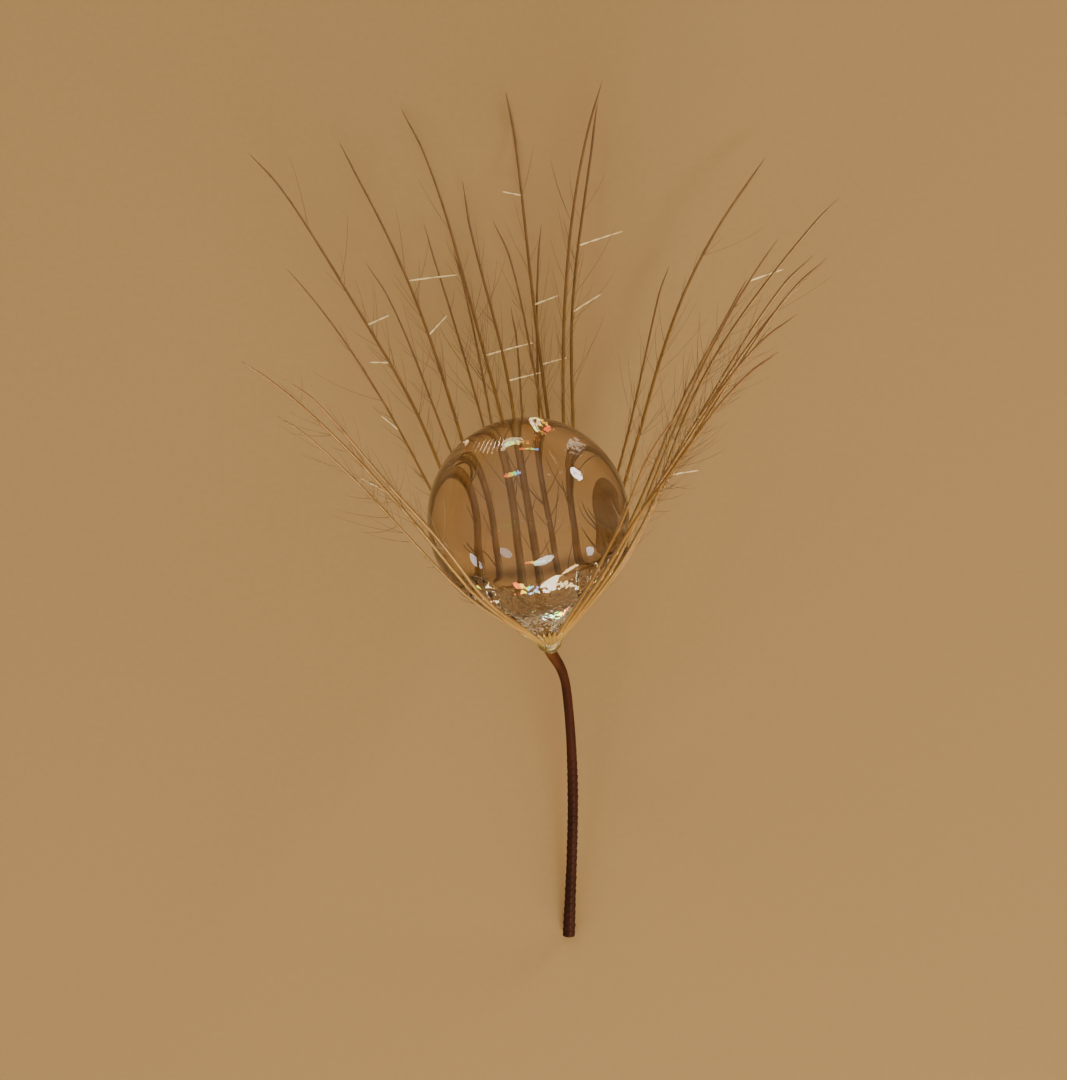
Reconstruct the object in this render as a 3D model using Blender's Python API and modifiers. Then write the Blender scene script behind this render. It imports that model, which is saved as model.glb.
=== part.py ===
"""One dandelion seed lying on a flat surface, with a water drop held in its parachute.

The seed is a thin curved beak, a small collar on top of it, and a pappus: fine rays that
stand round the collar's rim and lean out like the ribs of an umbrella. Where the rays start
they hug a drop of water, which fills the bottom of the cone they make.

The seed is drawn upright in its own frame: Z runs up from the beak's top, X across, and Y
towards the side that it lies on. An empty then lays it down, so that it rests on the beak's
foot and on the tips of its lowest rays.
"""
import math

import bpy
from mathutils import Matrix, Vector

MM = 0.001
FULL_TURN = 360

# How the seed lies.
LIE_ANGLE = math.radians(18.0)       # the seed's axis above the floor
HEAD_TILT = math.radians(9.4)        # the collar and pappus lean this much towards -X
FLOOR_FLEX = 0.10 * MM               # how gently a ray bends where it meets the floor

# The beak's centreline as (x, z) in the seed's own frame, from the collar to the foot.
BEAK_ROUTE = [
    (0.006 * MM, -0.040 * MM),
    (0.035 * MM, -0.110 * MM),
    (0.105 * MM, -0.230 * MM),
    (0.160 * MM, -0.480 * MM),
    (0.208 * MM, -1.120 * MM),
    (0.218 * MM, -1.900 * MM),
    (0.180 * MM, -3.090 * MM),
]
BEAK_RINGS = 20
BEAK_TOP_RADIUS = 0.055 * MM
BEAK_WAIST_RADIUS = 0.045 * MM
BEAK_LOW_RADIUS = 0.050 * MM
BEAK_FOOT_RADIUS = 0.060 * MM
BEAK_WAIST = 0.35                    # shares of the beak's length, from the top
BEAK_LOW = 0.80
BEAK_FLARE_LENGTH = 0.12             # share of the beak's length that the foot's flare takes
BEAK_BEVEL = 4                       # bevel resolution of the beak's curve: 12 sides

# The drop: a ball that runs down into a cone, along the head's axis.
DROP_RADIUS = 1.01 * MM
DROP_CENTRE = 1.40 * MM              # height of the ball's centre above the beak's top
DROP_BOTTOM = 0.10 * MM              # the cone is cut short here
DROP_ARC_POINTS = 14
DROP_SIDES = 36

# The collar: a small cup whose wall is the fused bases of the rays.
COLLAR_WALL = 0.031 * MM
BOWL_POINTS = [(0.0, 0.060 * MM), (0.055 * MM, 0.064 * MM)]
BOWL_MEETS_WALL = 0.45               # share of the way to the rim, inside
CUP_MEETS_WALL = 0.60                # share of the way to the rim, outside
CUP_POINTS = [
    (0.123 * MM, 0.060 * MM),
    (0.110 * MM, 0.028 * MM),
    (0.094 * MM, -0.006 * MM),
    (0.060 * MM, -0.030 * MM),
    (0.0, -0.030 * MM),
]
COLLAR_SIDES = 32

# The rays.
RIM_DISTANCE = 0.295 * MM            # from the beak's top to the rim, along the wall
ROOT_LEAN = 48.0                     # degrees from the head's axis, beside the drop
ROOT_GAP = 0.008 * MM                # between the rim and a ray's end
ROOT_RADIUS = 0.015 * MM
TIP_RADIUS = 0.007 * MM
ROOT_SPACING = 8.0                   # degrees between neighbouring roots on the rim
SPREAD_PASSES = 400
FIRST_AZIMUTH = 38                   # rays are counted round from here, in degrees
BEND_START = 0.45 * MM               # a ray starts to turn up round the drop here
BEND_END = 1.50 * MM
CURL_START = 1.60 * MM               # from here it curls outwards to its tip
CURL_POWER = 1.6
RAY_RINGS = 14
RAY_BEVEL = 2                        # bevel resolution of a ray's curve: 8 sides
PATH_STEPS = 20                      # straight steps per ring while a ray's path is drawn

# Each ray: azimuth round the head's axis (0 is +X, 90 is the side the seed lies on), length,
# lean in the middle, lean at the tip, and the azimuth its tip drifts sideways.
RAYS = [
    (40, 5.15 * MM, 32, 57, -2),
    (47, 3.80 * MM, 34, 42, 2),
    (67, 5.35 * MM, 20, 36, -4),
    (71, 5.55 * MM, 17, 38, -10),
    (73, 4.20 * MM, 14, 42, 16),
    (76, 5.50 * MM, 18, 41, 7),
    (82, 4.10 * MM, 16, 38, -6),
    (88, 3.30 * MM, 14, 40, -1),
    (92, 4.65 * MM, 14, 40, 3),
    (96, 5.50 * MM, 14, 41, 9),
    (102, 4.00 * MM, 14, 40, -1),
    (106, 4.30 * MM, 15, 39, 1),
    (116, 5.35 * MM, 17, 38, 4),
    (122, 4.10 * MM, 18, 37, 3),
    (131, 5.60 * MM, 20, 38, 8),
    (140, 4.40 * MM, 21, 35, 7),
    (226, 4.50 * MM, 34, 44, 0),
    (233, 5.70 * MM, 33, 48, 0),
    (238, 5.40 * MM, 34, 46, 0),
    (304, 4.50 * MM, 42, 50, -1),
    (310, 5.50 * MM, 44, 57, 2),
    (318, 5.50 * MM, 39, 57, 1),
    (326, 4.70 * MM, 37, 49, 0),
    (332, 5.50 * MM, 36, 51, 0),
    (338, 5.20 * MM, 34, 53, 0),
    (344, 5.00 * MM, 32, 51, 0),
    (351, 5.50 * MM, 29, 54, 0),
    (14, 4.45 * MM, 31, 47, 0),
    (24, 3.90 * MM, 35, 45, 0),
]

POLE_MERGE = 1e-7                    # merge distance on a turned shape's axis


def clear_scene():
    for obj in list(bpy.data.objects):
        bpy.data.objects.remove(obj, do_unlink=True)


def make_material(name, colour, roughness, alpha=1.0):
    material = bpy.data.materials.new(name)
    material.use_nodes = True
    shader = material.node_tree.nodes["Principled BSDF"]
    shader.inputs["Base Color"].default_value = (*colour, 1.0)
    shader.inputs["Roughness"].default_value = roughness
    shader.inputs["Metallic"].default_value = 0.0
    shader.inputs["Alpha"].default_value = alpha
    return material


def add_object(name, data, parent, collection, material):
    piece = bpy.data.objects.new(name, data)
    piece.parent = parent
    data.materials.append(material)
    collection.objects.link(piece)
    return piece


def smooth_path(route, count):
    """Points along a Catmull-Rom curve through the route's own points."""
    ends = [2 * route[0] - route[1]] + route + [2 * route[-1] - route[-2]]
    spans = len(route) - 1
    points = []
    for index in range(count):
        place = index / (count - 1) * spans
        span = min(int(place), spans - 1)
        t = place - span
        a, b, c, d = ends[span:span + 4]
        points.append(0.5 * (2 * b + (c - a) * t + (2 * a - 5 * b + 4 * c - d) * t ** 2
                             + (3 * b - a - 3 * c + d) * t ** 3))
    return points


def tube(name, points, radii, sides_setting, parent, collection, material):
    """A round rod along the points, closed at both ends."""
    curve = bpy.data.curves.new(name, "CURVE")
    curve.dimensions = "3D"
    curve.bevel_depth = max(radii)
    curve.bevel_resolution = sides_setting
    curve.use_fill_caps = True
    spline = curve.splines.new("POLY")
    spline.points.add(len(points) - 1)
    for spot, point, radius in zip(spline.points, points, radii):
        spot.co = (*point, 1.0)
        spot.radius = radius / curve.bevel_depth
    spline.use_smooth = True
    return add_object(name, curve, parent, collection, material)


def turned(name, profile, sides, parent, collection, material):
    """A solid turned round Z from (radius, height) points, top to bottom down its outer side."""
    mesh = bpy.data.meshes.new(name)
    points = [(radius, 0.0, height) for radius, height in profile]
    edges = [(i, i + 1) for i in range(len(points) - 1)]
    mesh.from_pydata(points, edges, [])
    piece = add_object(name, mesh, parent, collection, material)
    screw = piece.modifiers.new("turn", "SCREW")
    screw.axis = "Z"
    screw.steps = sides
    screw.render_steps = sides
    screw.use_merge_vertices = True
    screw.merge_threshold = POLE_MERGE
    screw.use_smooth_shade = True
    return piece


def blend(a, b, t):
    return a + (b - a) * t


def smooth_step(low, high, value):
    t = min(max((value - low) / (high - low), 0.0), 1.0)
    return t * t * (3.0 - 2.0 * t)


# ---- the beak

def beak_radius(share):
    """Thick under the collar, thinnest a third of the way down, flared at the foot."""
    if share < BEAK_WAIST:
        return blend(BEAK_TOP_RADIUS, BEAK_WAIST_RADIUS, smooth_step(0.0, BEAK_WAIST, share))
    radius = blend(BEAK_WAIST_RADIUS, BEAK_LOW_RADIUS, smooth_step(BEAK_WAIST, BEAK_LOW, share))
    flare = smooth_step(1.0 - BEAK_FLARE_LENGTH, 1.0, share)
    return blend(radius, BEAK_FOOT_RADIUS, flare ** 2)


def make_beak(parent, collection, material):
    route = [Vector((x, 0.0, z)) for x, z in BEAK_ROUTE]
    points = smooth_path(route, BEAK_RINGS)
    radii = [beak_radius(i / (BEAK_RINGS - 1)) for i in range(BEAK_RINGS)]
    return tube("beak", points, radii, BEAK_BEVEL, parent, collection, material)


# ---- the drop and the collar, both turned round the head's axis

def drop_profile():
    """From the ball's top down its side to where the cone leaves it, then to the cut end."""
    cone_angle = math.asin(DROP_RADIUS / DROP_CENTRE)
    last_turn = math.pi / 2 + cone_angle
    profile = []
    for index in range(DROP_ARC_POINTS + 1):
        turn = last_turn * index / DROP_ARC_POINTS
        profile.append((DROP_RADIUS * math.sin(turn), DROP_CENTRE + DROP_RADIUS * math.cos(turn)))
    profile.append((DROP_BOTTOM * math.tan(cone_angle), DROP_BOTTOM))
    profile.append((0.0, DROP_BOTTOM))
    profile[0] = (0.0, DROP_CENTRE + DROP_RADIUS)
    return profile


def make_drop(parent, collection, material):
    return turned("water_drop", drop_profile(), DROP_SIDES, parent, collection, material)


def along_wall(distance, offset):
    """A point on the collar's wall: distance from the beak's top, offset out from the drop."""
    lean = math.radians(ROOT_LEAN)
    radius = distance * math.sin(lean) + offset * math.cos(lean)
    height = distance * math.cos(lean) - offset * math.sin(lean)
    return radius, height


def make_collar(parent, collection, material):
    wall_out = COLLAR_WALL / 2
    wall_in = -COLLAR_WALL / 2
    profile = BOWL_POINTS + [
        along_wall(RIM_DISTANCE * BOWL_MEETS_WALL, wall_in),
        along_wall(RIM_DISTANCE, wall_in),
        along_wall(RIM_DISTANCE, wall_out),
        along_wall(RIM_DISTANCE * CUP_MEETS_WALL, wall_out),
    ] + CUP_POINTS
    return turned("collar", profile, COLLAR_SIDES, parent, collection, material)


# ---- the rays

def spread_roots(azimuths):
    """Push neighbouring roots apart until each has its own place on the rim."""
    order = sorted(range(len(azimuths)), key=lambda i: azimuths[i])
    roots = [float(azimuths[i]) for i in order]
    for _ in range(SPREAD_PASSES):
        for i in range(len(roots) - 1):
            missing = ROOT_SPACING - (roots[i + 1] - roots[i])
            if missing > 0:
                roots[i] -= missing / 2
                roots[i + 1] += missing / 2
    placed = [0.0] * len(azimuths)
    for index, root in zip(order, roots):
        placed[index] = root
    return placed


def ray_lean(distance, length, middle, tip):
    """Lean from the head's axis at a distance along the ray, in degrees."""
    lean = blend(ROOT_LEAN, middle, smooth_step(BEND_START, BEND_END, distance))
    curl = max((distance - CURL_START) / (length - CURL_START), 0.0)
    return lean + (tip - middle) * curl ** CURL_POWER


def ray_points(ray, root):
    """The ray's centreline in the head's frame, drawn in short straight steps from its root."""
    azimuth, length, middle, tip, drift = ray
    radius, height = along_wall(RIM_DISTANCE + ROOT_GAP, 0.0)
    steps = (RAY_RINGS - 1) * PATH_STEPS
    step = length / steps
    points = []
    for index in range(steps + 1):
        distance = index * step
        if index % PATH_STEPS == 0:
            own = azimuth + drift * (distance / length) ** 2
            turn = math.radians(blend(root, own, smooth_step(0.0, BEND_END, distance)))
            points.append(Vector((radius * math.cos(turn), radius * math.sin(turn), height)))
        lean = math.radians(ray_lean(distance + step / 2, length, middle, tip))
        radius += step * math.sin(lean)
        height += step * math.cos(lean)
    return points


def ray_radius(share):
    return blend(ROOT_RADIUS, TIP_RADIUS, share ** 1.3)


def bend_on_floor(point, radius, to_world):
    """Lift a point that would be under the floor, so that the ray lies along it instead."""
    spot = to_world @ point
    over = spot.z - radius
    spot.z = radius + 0.5 * (over + math.sqrt(over * over + FLOOR_FLEX * FLOOR_FLEX))
    return to_world.inverted() @ spot


def make_rays(to_world, parent, collection, material):
    rays = []
    lifted = [ray[0] + FULL_TURN if ray[0] < FIRST_AZIMUTH else ray[0] for ray in RAYS]
    for index, (ray, root) in enumerate(zip(RAYS, spread_roots(lifted))):
        turned_ray = (lifted[index], *ray[1:])
        radii = [ray_radius(i / (RAY_RINGS - 1)) for i in range(RAY_RINGS)]
        points = [
            bend_on_floor(point, radius, to_world)
            for point, radius in zip(ray_points(turned_ray, root), radii)
        ]
        name = f"ray_{index + 1:02d}"
        rays.append(tube(name, points, radii, RAY_BEVEL, parent, collection, material))
    return rays


# ---- laying the seed down

def foot_height():
    """Height of the beak's top above the floor when the foot's lower edge rests on it."""
    foot_z = BEAK_ROUTE[-1][1]
    return -foot_z * math.sin(LIE_ANGLE) + BEAK_FOOT_RADIUS * math.cos(LIE_ANGLE)


def add_empty(name, matrix, parent, collection):
    empty = bpy.data.objects.new(name, None)
    empty.parent = parent
    empty.matrix_basis = matrix
    collection.objects.link(empty)
    return empty


def centre_over_origin(lie, pieces):
    """Slide the seed along the floor until the middle of its box is over the origin."""
    bpy.context.view_layer.update()
    graph = bpy.context.evaluated_depsgraph_get()
    spots = []
    for piece in pieces:
        shape = piece.evaluated_get(graph)
        mesh = shape.to_mesh()
        spots += [piece.matrix_world @ vertex.co for vertex in mesh.vertices]
        shape.to_mesh_clear()
    for axis in (0, 1):
        values = [spot[axis] for spot in spots]
        lie.location[axis] -= (min(values) + max(values)) / 2
    lie.location.z -= min(spot.z for spot in spots)


def main():
    clear_scene()
    collection = bpy.data.collections.new("dandelion_seed")
    bpy.context.scene.collection.children.link(collection)

    lay_down = Matrix.Rotation(LIE_ANGLE - math.pi / 2, 4, "X")
    lie_matrix = Matrix.Translation((0.0, 0.0, foot_height())) @ lay_down
    tilt_matrix = Matrix.Rotation(-HEAD_TILT, 4, "Y")
    lie = add_empty("lie", lie_matrix, None, collection)
    head = add_empty("head", tilt_matrix, lie, collection)

    brown = make_material("beak", (0.075, 0.014, 0.006), 0.4)
    olive = make_material("collar", (0.36, 0.20, 0.035), 0.35)
    water = make_material("water", (0.95, 0.95, 0.93), 0.02, alpha=0.35)
    amber = make_material("pappus", (0.42, 0.22, 0.075), 0.4)

    pieces = [
        make_beak(lie, collection, brown),
        make_collar(head, collection, olive),
        make_drop(head, collection, water),
    ]
    pieces += make_rays(lie_matrix @ tilt_matrix, head, collection, amber)
    centre_over_origin(lie, pieces)


main()
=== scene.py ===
# %% [markdown]
# # A dandelion seed that holds a water drop
#
# The real thing is under nine millimetres long: one dandelion seed's beak, the small collar on
# top of it, the parachute of fine rays that botanists call the pappus, and a drop of water that
# the rays hold. It lies on its side, on the beak's foot and on the tips of its lowest rays.
#
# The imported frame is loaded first. It gives the true size and place of every piece, so that
# each piece made below takes its place from the frame and not from numbers typed in twice.

# %% Load the frame
import math
import random

import bmesh
import bpy
from mathutils import Matrix, Vector
from mathutils import noise as hills


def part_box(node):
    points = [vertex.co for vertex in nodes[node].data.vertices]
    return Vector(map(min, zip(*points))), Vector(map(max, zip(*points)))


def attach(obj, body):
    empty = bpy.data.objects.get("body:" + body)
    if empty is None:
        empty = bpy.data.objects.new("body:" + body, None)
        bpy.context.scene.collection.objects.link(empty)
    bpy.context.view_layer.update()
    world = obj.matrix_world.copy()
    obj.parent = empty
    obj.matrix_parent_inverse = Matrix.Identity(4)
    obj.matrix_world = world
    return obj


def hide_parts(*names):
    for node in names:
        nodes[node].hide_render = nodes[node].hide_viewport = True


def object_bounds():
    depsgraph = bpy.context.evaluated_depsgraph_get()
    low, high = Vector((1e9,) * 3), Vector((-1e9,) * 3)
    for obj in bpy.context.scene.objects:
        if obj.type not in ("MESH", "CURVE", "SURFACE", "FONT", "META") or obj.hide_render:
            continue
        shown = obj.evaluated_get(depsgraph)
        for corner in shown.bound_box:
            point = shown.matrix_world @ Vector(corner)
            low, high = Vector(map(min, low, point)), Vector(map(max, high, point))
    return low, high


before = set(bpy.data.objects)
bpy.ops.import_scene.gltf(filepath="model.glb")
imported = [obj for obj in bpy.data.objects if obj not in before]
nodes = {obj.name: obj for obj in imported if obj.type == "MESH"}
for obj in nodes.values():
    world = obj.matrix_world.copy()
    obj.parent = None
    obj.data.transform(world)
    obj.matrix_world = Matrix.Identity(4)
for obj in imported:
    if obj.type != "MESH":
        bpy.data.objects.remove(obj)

MM = 0.001
cad_low, cad_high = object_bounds()
print("frame box in mm:", [round(side / MM, 2) for side in cad_high - cad_low])

# %% [markdown]
# ## Reading the head's axis
#
# Everything on the seed's head is arranged round one axis, which runs from the beak's top
# through the middle of the drop. It could be typed in as two angles, but then it would be wrong
# as soon as the seed was laid down differently. The drop in the frame is a turned solid: its
# pole, the vertex where most edges meet, is one end of the axis, and its mean lies on it too.


# %% Find the head's axis
def merged_copy(node):
    """The node's mesh as a bmesh with its loose triangles joined up."""
    bm = bmesh.new()
    bm.from_mesh(nodes[node].data)
    bmesh.ops.remove_doubles(bm, verts=bm.verts, dist=0.0005 * MM)
    return bm


def axis_of_turned(node):
    """The far pole of a turned solid, its axis, and the axis's other end."""
    bm = merged_copy(node)
    middle = sum((vert.co for vert in bm.verts), Vector()) / len(bm.verts)
    busiest = sorted(bm.verts, key=lambda v: -len(v.link_edges))[:2]
    pole = max((vert.co for vert in busiest), key=lambda point: point.y).copy()
    axis = (pole - middle).normalized()
    near_end = min(axis.dot(vert.co - pole) for vert in bm.verts)
    bm.free()
    return pole, axis, pole + axis * near_end


DROP_CUT = 0.10 * MM  # the drop's lower end is cut this far above the beak's top

drop_top, head_axis, drop_bottom = axis_of_turned("water_drop")
across = (Vector((1, 0, 0)) - head_axis.x * head_axis).normalized()
under = head_axis.cross(across)
drop_low, drop_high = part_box("water_drop")
DROP_RADIUS = (drop_high.x - drop_low.x) / 2
drop_centre = drop_top - head_axis * DROP_RADIUS
beak_top = drop_bottom - head_axis * DROP_CUT
print("drop radius in mm:", round(DROP_RADIUS / MM, 3))
print("head axis above the floor, degrees:", round(math.degrees(math.asin(head_axis.z)), 1))

# %% [markdown]
# ## Reading the rays' centrelines
#
# Each ray is a tube in the frame: rings of vertices threaded on a centreline. The ring at the
# far end is the group of vertices furthest from the beak, and each next ring is made of that
# ring's neighbours, so a walk along the edges finds them all. The mean of a ring is a point of
# the centreline. Sorting vertices by distance alone would mix the rings where a ray bends.

# %% Read the rays' centrelines
RAY_SIDES = 8  # the frame's rays have eight vertices to a ring


def centreline(node, sides, start):
    """The ring centres of a tube node, from start outwards."""
    bm = merged_copy(node)
    by_distance = sorted(bm.verts, key=lambda vert: (vert.co - start).length)
    ring = set(by_distance[-sides:])
    walked = set()
    centres = []
    while ring:
        centres.append(sum((vert.co for vert in ring), Vector()) / len(ring))
        walked |= ring
        ring = {edge.other_vert(vert) for vert in ring for edge in vert.link_edges} - walked
    bm.free()
    return centres[::-1]


ray_names = sorted(name for name in nodes if name.startswith("ray_"))
ray_lines = {name: centreline(name, RAY_SIDES, beak_top) for name in ray_names}
print("rays:", len(ray_names), "rings on each:", {len(line) for line in ray_lines.values()})

# %% [markdown]
# ## Camera
#
# The seed is small and lies down, so the camera looks down on it, tipped a couple of degrees
# from straight above, as if the seed stood and the eye were level with it. A wide lens close by
# would spread the fine rays in perspective. A long lens far away keeps them as they are.

# %% Camera
VIEW_HEIGHT = 10.80 * MM  # how much of the floor the view takes in, from top to bottom
LENS_MM = 600.0
SENSOR_MM = 36.0
VIEW_TIP = math.radians(-2.0)  # the camera leans this much from straight above
LOOK_RIGHT = -0.175 * MM  # where the view's middle is, from the beak's top
LOOK_UP = 1.08 * MM

picture_up = Vector((0, math.cos(VIEW_TIP), math.sin(VIEW_TIP)))
picture_right = Vector((1, 0, 0))
towards_camera = picture_right.cross(picture_up)
look_at = beak_top + picture_right * LOOK_RIGHT + picture_up * LOOK_UP

camera_data = bpy.data.cameras.new("camera")
camera_data.lens = LENS_MM
camera_data.sensor_width = SENSOR_MM
camera_distance = VIEW_HEIGHT * LENS_MM / SENSOR_MM
camera_data.clip_start = camera_distance / 10
camera_data.clip_end = camera_distance * 20
camera = bpy.data.objects.new("camera", camera_data)
camera.matrix_world = Matrix.Translation(look_at + towards_camera * camera_distance) @ Matrix(
    (picture_right, picture_up, towards_camera)).transposed().to_4x4()
bpy.context.scene.collection.objects.link(camera)
bpy.context.scene.camera = camera
print("camera distance in mm:", round(camera_distance / MM))

# %% [markdown]
# ## Making materials with nodes
#
# Each finish is a small graph of shader nodes round one Principled shader. The same four steps
# come back every time: start a material, set its plain values, add a node, connect two sockets.
# Each becomes a short helper, so that a finish below reads like a recipe and not like wiring.


# %% Start a material, set values, add a node, connect
def principled(name):
    """A new material and its Principled shader."""
    material = bpy.data.materials.new(name)
    material.use_nodes = True
    return material, material.node_tree.nodes["Principled BSDF"]


def set_values(shader, values):
    """Plain values, each set on the shader's own socket."""
    for socket, value in values.items():
        shader.inputs[socket].default_value = value


def add_node(material, kind, **settings):
    node = material.node_tree.nodes.new(kind)
    for name, value in settings.items():
        setattr(node, name, value)
    return node


def connect(material, source, target):
    material.node_tree.links.new(source, target)


# %% [markdown]
# ## Colour along a rod
#
# A ray is gold at its root and brown at its tip, wherever it points, so its colour can't come
# from height or from X, Y and Z. The rods below carry a number at every vertex, called along,
# which runs from 0 at the root to 1 at the tip. An attribute node reads such a number, a ramp
# turns it into a colour, and a mix node lays one colour over another.


# %% Read an attribute, turn it into a colour, mix colours
def attribute(material, name):
    return add_node(material, "ShaderNodeAttribute", attribute_name=name).outputs["Fac"]


def ramp(material, value, stops):
    """A colour read from a value between 0 and 1, from (position, colour) stops."""
    node = add_node(material, "ShaderNodeValToRGB")
    elements = node.color_ramp.elements
    while len(elements) < len(stops):
        elements.new(0.5)
    for element, (position, colour) in zip(elements, stops):
        element.position = position
        element.color = (*colour, 1)
    connect(material, value, node.inputs["Fac"])
    return node.outputs["Color"]


def blend_colours(material, a, b, factor, kind="MIX"):
    """Mixes two colours. Each of a, b and factor is a socket or a plain value."""
    node = add_node(material, "ShaderNodeMix", data_type="RGBA", blend_type=kind)
    for source, name in ((a, "A"), (b, "B"), (factor, "Factor")):
        if isinstance(source, bpy.types.NodeSocket):
            connect(material, source, node.inputs[name])
        elif name == "Factor":
            node.inputs[name].default_value = source
        else:
            node.inputs[name].default_value = (*source, 1)
    return node.outputs["Result"]


# %% [markdown]
# ## Uneven colour and fine bumps
#
# No plant part has one flat colour. Noise on the object's own coordinates gives soft patches
# that stay in place on the piece. The whole object is a few millimetres long and Blender counts
# in metres, so the noise scales are in the thousands. The same noise can drive a bump, which
# tilts the surface a little without adding any faces.

# %% Noise, spread and bump
NOISE_DETAIL = 4.0
NOISE_MIDDLE = (0.3, 0.7)  # nearly all of a noise's values lie between these two


def noise(material, scale, stretch=None):
    """Noise on the object's own coordinates, stretched along its axes if asked."""
    where = add_node(material, "ShaderNodeTexCoord").outputs["Object"]
    if stretch:
        mapping = add_node(material, "ShaderNodeMapping")
        mapping.inputs["Scale"].default_value = stretch
        connect(material, where, mapping.inputs["Vector"])
        where = mapping.outputs["Vector"]
    node = add_node(material, "ShaderNodeTexNoise")
    node.inputs["Scale"].default_value = scale
    node.inputs["Detail"].default_value = NOISE_DETAIL
    connect(material, where, node.inputs["Vector"])
    return node.outputs["Fac"]


def spread(material, value, low, high):
    """Stretches the middle of a noise out to run from low to high."""
    node = add_node(material, "ShaderNodeMapRange")
    node.inputs["From Min"].default_value = NOISE_MIDDLE[0]
    node.inputs["From Max"].default_value = NOISE_MIDDLE[1]
    node.inputs["To Min"].default_value = low
    node.inputs["To Max"].default_value = high
    connect(material, value, node.inputs["Value"])
    return node.outputs["Result"]


def add_bump(material, shader, height, distance, strength):
    bump = add_node(material, "ShaderNodeBump")
    bump.inputs["Distance"].default_value = distance
    bump.inputs["Strength"].default_value = strength
    connect(material, height, bump.inputs["Height"])
    connect(material, bump.outputs["Normal"], shader.inputs["Normal"])


# %% [markdown]
# ## Floor
#
# The floor is one plain sheet of sand-coloured card. A plane would do, but a wide disc has no
# corner that could show at the edge of a low view. Clear water shows whatever lies behind it,
# so the floor's warm colour is also most of the drop's colour.


# %% Floor
def link_piece(bm, name, material):
    """Turns a bmesh into a finished, smooth-shaded object at the origin."""
    mesh = bpy.data.meshes.new(name)
    bm.to_mesh(mesh)
    bm.free()
    mesh.shade_smooth()
    mesh.materials.append(material)
    piece = bpy.data.objects.new(name, mesh)
    bpy.context.scene.collection.objects.link(piece)
    return piece


def make_card():
    material, shader = principled("pale_card")
    grain = spread(material, noise(material, 16000), 0.0, 1.0)
    colour = blend_colours(material, (0.322, 0.191, 0.075), (0.336, 0.200, 0.080), grain)
    connect(material, colour, shader.inputs["Base Color"])
    set_values(shader, {"Roughness": 0.9, "Specular IOR Level": 0.2})
    return material


FLOOR_RADIUS = 0.5
FLOOR_SIDES = 96
bm = bmesh.new()
bmesh.ops.create_circle(bm, cap_ends=True, segments=FLOOR_SIDES, radius=FLOOR_RADIUS)
floor = link_piece(bm, "floor", make_card())
print("floor radius in mm:", round(FLOOR_RADIUS / MM))

# %% [markdown]
# ## Sky
#
# The sky is the soft part of the light. It is warm white above and a good deal darker near the
# horizon, because a clear ball of water bends the horizon into its own edge: a darker horizon
# gives the drop an outline. A ramp on the sky's height does this in one step.

# %% Sky
SKY_FULL = 0.55  # the sky is at its brightest from this height up
SKY_STRENGTH = 0.62


def make_sky():
    world = bpy.data.worlds.new("studio")
    world.use_nodes = True
    tree = world.node_tree
    where = tree.nodes.new("ShaderNodeTexCoord")
    parts = tree.nodes.new("ShaderNodeSeparateXYZ")
    shade = tree.nodes.new("ShaderNodeValToRGB")
    shade.color_ramp.elements[0].color = (0.34, 0.25, 0.165, 1)
    shade.color_ramp.elements[1].position = SKY_FULL
    shade.color_ramp.elements[1].color = (1.0, 0.93, 0.86, 1)
    tree.links.new(where.outputs["Generated"], parts.inputs["Vector"])
    tree.links.new(parts.outputs["Z"], shade.inputs["Fac"])
    tree.links.new(shade.outputs["Color"], tree.nodes["Background"].inputs["Color"])
    tree.nodes["Background"].inputs["Strength"].default_value = SKY_STRENGTH
    return world


bpy.context.scene.world = make_sky()

# %% [markdown]
# ## Soft boxes
#
# A drop of water shows every lamp as a glint, so each glint needs its own lamp. A lamp's glint
# lies on the drop halfway between the lamp's direction and the camera's, which tells where to
# hang it. The wide box gives shape to the rays. The small ones low in front light the foot of
# the drop, and the one to the upper right makes the single bright spot there. The arc box shines
# through the drop from the front and comes back inside its upper edge, as sunlight does when
# it makes a rainbow. The lamps are hidden from the camera, so a low view shows the sky alone.

# %% Soft boxes
LAMP_DISTANCE = 0.05
WARM_WHITE = (1.0, 0.95, 0.88)
COOL_WHITE = (0.88, 0.88, 1.0)
CANDLE_WHITE = (1.0, 0.86, 0.62)
GOLD = (1.0, 0.72, 0.34)


def soft_box(name, direction, size, power, colour):
    """An oval soft box that faces the drop from a direction."""
    light = bpy.data.lights.new(name, "AREA")
    light.shape = "ELLIPSE"
    light.size, light.size_y = size
    light.energy = power
    light.color = colour
    lamp = bpy.data.objects.new(name, light)
    lamp.visible_camera = False
    away = Vector(direction).normalized()
    lamp.matrix_world = (Matrix.Translation(drop_centre + away * LAMP_DISTANCE)
                         @ away.to_track_quat("Z", "Y").to_matrix().to_4x4())
    bpy.context.scene.collection.objects.link(lamp)


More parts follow.
